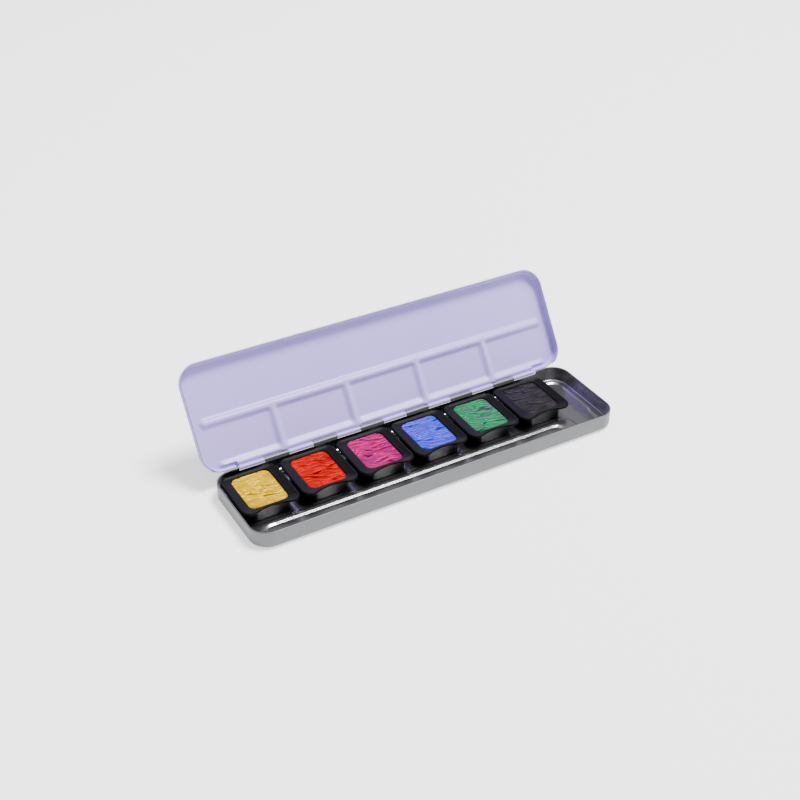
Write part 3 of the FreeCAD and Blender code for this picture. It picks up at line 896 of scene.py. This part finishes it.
def waves(x, y, seed, field):
    """A smooth random field: a sum of sine waves whose crests run mostly along X, each with its
    own length, direction and phase."""
    seed_step, count, length, lean, spread = field
    random = np.random.default_rng(seed + seed_step)
    pitch = length * np.exp(random.uniform(-0.6, 0.6, count))
    tilt = lean + random.normal(0, spread, count)
    phase = random.uniform(0, TURN, count)
    total = np.zeros_like(x)
    for k in range(count):
        across = -x * math.sin(tilt[k]) + y * math.cos(tilt[k])
        total += np.sin(TURN * across / pitch[k] + phase[k])
    return total / math.sqrt(count / 2)


def dried_relief(x, y, seed):
    """Height of the dried paint from 0 in a crease to 1 on a crest. Creases are where a warped
    wave field crosses zero, as in a skin that shrank and was dragged; a finer field adds small
    wrinkles, and a slow one varies how deep both are."""
    slide = y + DRAG * waves(x, y, seed, BEND)
    slow = 0.5 + 0.5 * np.tanh(waves(x, y, seed, PATCHES))
    fold = 1 - smooth_step(np.abs(waves(x, slide, seed, FOLDS)), 0.0, FOLD_WIDTH)
    wrinkle = 1 - smooth_step(np.abs(waves(x, slide, seed, WRINKLES)), 0.0, WRINKLE_WIDTH)
    fold_depth = FOLD_DEPTH[0] + FOLD_DEPTH[1] * slow
    wrinkle_depth = WRINKLE_DEPTH[0] + WRINKLE_DEPTH[1] * slow
    return np.clip(UNCREASED - fold_depth * fold - wrinkle_depth * wrinkle, 0, 1)


def paint_cake(colour, number):
    """Cake of dried paint: a wrinkled top over the pan's window, turned up at its edge, with
    straight sides and a flat bottom."""
    low, high = (in_mm(c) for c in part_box(f"paint_{colour}"))
    middle = np.array([(low[0] + high[0]) / 2, (low[1] + high[1]) / 2, 0])
    size = (high[0] - low[0], high[1] - low[1], WINDOW[2])
    edge = ring(*size, **CAKE_COUNTS)
    spine = (size[1] - size[0]) / 2
    target = np.column_stack([np.zeros(len(edge)), np.clip(edge[:, 1], -spine, spine)])
    rings = [edge, edge]
    heights = [low[2], high[2] - CAKE_SIDE]
    reliefs = [np.full(len(edge), 0.5)] * 2
    for share in np.linspace(0, 1, 45):
        flat = edge + (target - edge) * share
        inset = -inside_distance(flat[:, 0], flat[:, 1], (0, 0), size, size[2])
        relief = dried_relief(flat[:, 0], flat[:, 1], 11 * number + 3)
        rim = np.exp(-(inset / RIM_REACH) ** 2)
        relief = relief * (1 - RIM_SHARE * rim) + RIM_RELIEF * RIM_SHARE * rim
        level = high[2] - EDGE_FALL + RELIEF_HEIGHT * relief + RIM_HEIGHT * rim
        fall = EDGE_FALL * np.clip(1 - inset / CAKE_EDGE, 0, 1) ** 2
        rings.append(flat)
        heights.append(level - fall)
        reliefs.append(relief)
    points = stack_rings(rings, heights)
    rows, columns = points.shape[:2]
    faces = [face[::-1] for face in grid_faces(rows, columns)]
    faces.append(list(range(columns)))
    mesh_points = points.reshape(-1, 3) + middle
    material = pearl_watercolour(colour, *PAINT_COLOURS[colour])
    cake = new_piece(f"{colour}_cake", mesh_points, faces, [material])
    set_relief(cake, mesh_points, np.concatenate(reliefs))
    return face_outwards(cake)


def set_relief(piece, points, values):
    """Stores each point's relief on the mesh, found again by its place after doubles were
    merged."""
    co = np.zeros(len(piece.data.vertices) * 3)
    piece.data.vertices.foreach_get("co", co)
    keys = {tuple(k): v for k, v in zip(np.round(points, 2).tolist(), values.tolist())}
    found = [keys.get(tuple(k), 0.5) for k in np.round(co.reshape(-1, 3) / MM, 2).tolist()]
    attribute = piece.data.attributes.new("relief", "FLOAT", "POINT")
    attribute.data.foreach_set("value", np.array(found, dtype=np.float32))


for number, colour in enumerate(PAINTS):
    shell = pan_shell(colour)
    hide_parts(f"pan_shell_{colour}")
    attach(shell, f"{colour}_pan")
    cake = paint_cake(colour, number)
    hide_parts(f"paint_{colour}")
    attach(cake, f"{colour}_pan")


# --- floor, light and camera -------------------------------------------------------------------

def pale_floor():
    """A plain table six metres wide, of opal acrylic that is also lit a little from below."""
    material, _, shader = new_material("opal_acrylic", Roughness=0.9, Emission_Strength=1.05)
    shader.inputs["Base Color"].default_value = linear("#F8F8F8")
    shader.inputs["Emission Color"].default_value = linear("#FFFFFF")
    half = 3000.0
    points = [(-half, -half, 0.0), (half, -half, 0.0), (half, half, 0.0), (-half, half, 0.0)]
    floor = new_piece("floor", points, [(0, 1, 2, 3)], [material])


def soft_light(name, place, aim, size, power):
    """A square soft box, pointed at a place on the object. Lengths in metres."""
    light = bpy.data.lights.new(name, "AREA")
    light.shape = "SQUARE"
    light.size = size
    light.energy = power
    lamp = bpy.data.objects.new(name, light)
    bpy.context.scene.collection.objects.link(lamp)
    lamp.location = place
    lamp.rotation_euler = look_along(np.subtract(aim, place))


def look_along(direction, roll=0.0):
    """Rotation of a lamp or camera that looks along a direction, turned by roll about it."""
    turn = Vector(direction).to_track_quat("-Z", "Y").to_matrix()
    return (turn @ Matrix.Rotation(roll, 3, "Z")).to_euler()


# The view: where it aims and its distance, in metres, and its three angles in degrees.
VIEW_AIM = (0.0188, 0.05638, 0.0)
VIEW_DISTANCE = 0.78953
VIEW_AZIMUTH = -30.9
VIEW_ELEVATION = 34.37
VIEW_ROLL = 0.933


def camera_view():
    """The camera, with back as the unit vector from the aim to the eye, found from the azimuth
    and elevation."""
    azimuth, elevation, roll = np.radians((VIEW_AZIMUTH, VIEW_ELEVATION, VIEW_ROLL))
    back = np.array(
        [
            math.sin(azimuth) * math.cos(elevation),
            -math.cos(azimuth) * math.cos(elevation),
            math.sin(elevation),
        ]
    )
    lens = bpy.data.cameras.new("camera")
    lens.lens = 58.63
    lens.sensor_width = 36.0
    eye = bpy.data.objects.new("camera", lens)
    bpy.context.scene.collection.objects.link(eye)
    eye.location = np.array(VIEW_AIM) + back * VIEW_DISTANCE
    eye.rotation_euler = look_along(-back, roll)
    bpy.context.scene.camera = eye


def studio():
    """A pale even surround and three soft boxes: a wide one overhead, a strong one overhead at
    the right, and a weak one low at the right."""
    world = bpy.data.worlds.new("studio")
    world.use_nodes = True
    backdrop = world.node_tree.nodes["Background"]
    backdrop.inputs["Color"].default_value = linear("#F4F4F8")
    backdrop.inputs["Strength"].default_value = 0.42
    bpy.context.scene.world = world
    soft_light("ceiling", (-0.3, -0.6, 3.2), (0.0, 0.0, 0.0), 3.0, 24.0)
    soft_light("key", (0.95, -0.2, 2.85), (0.0, 0.0, 0.0), 1.0, 200.0)
    soft_light("side", (2.2, -1.2, 0.8), (0.0, 0.0, 0.0), 1.0, 16.0)


pale_floor()
studio()
camera_view()
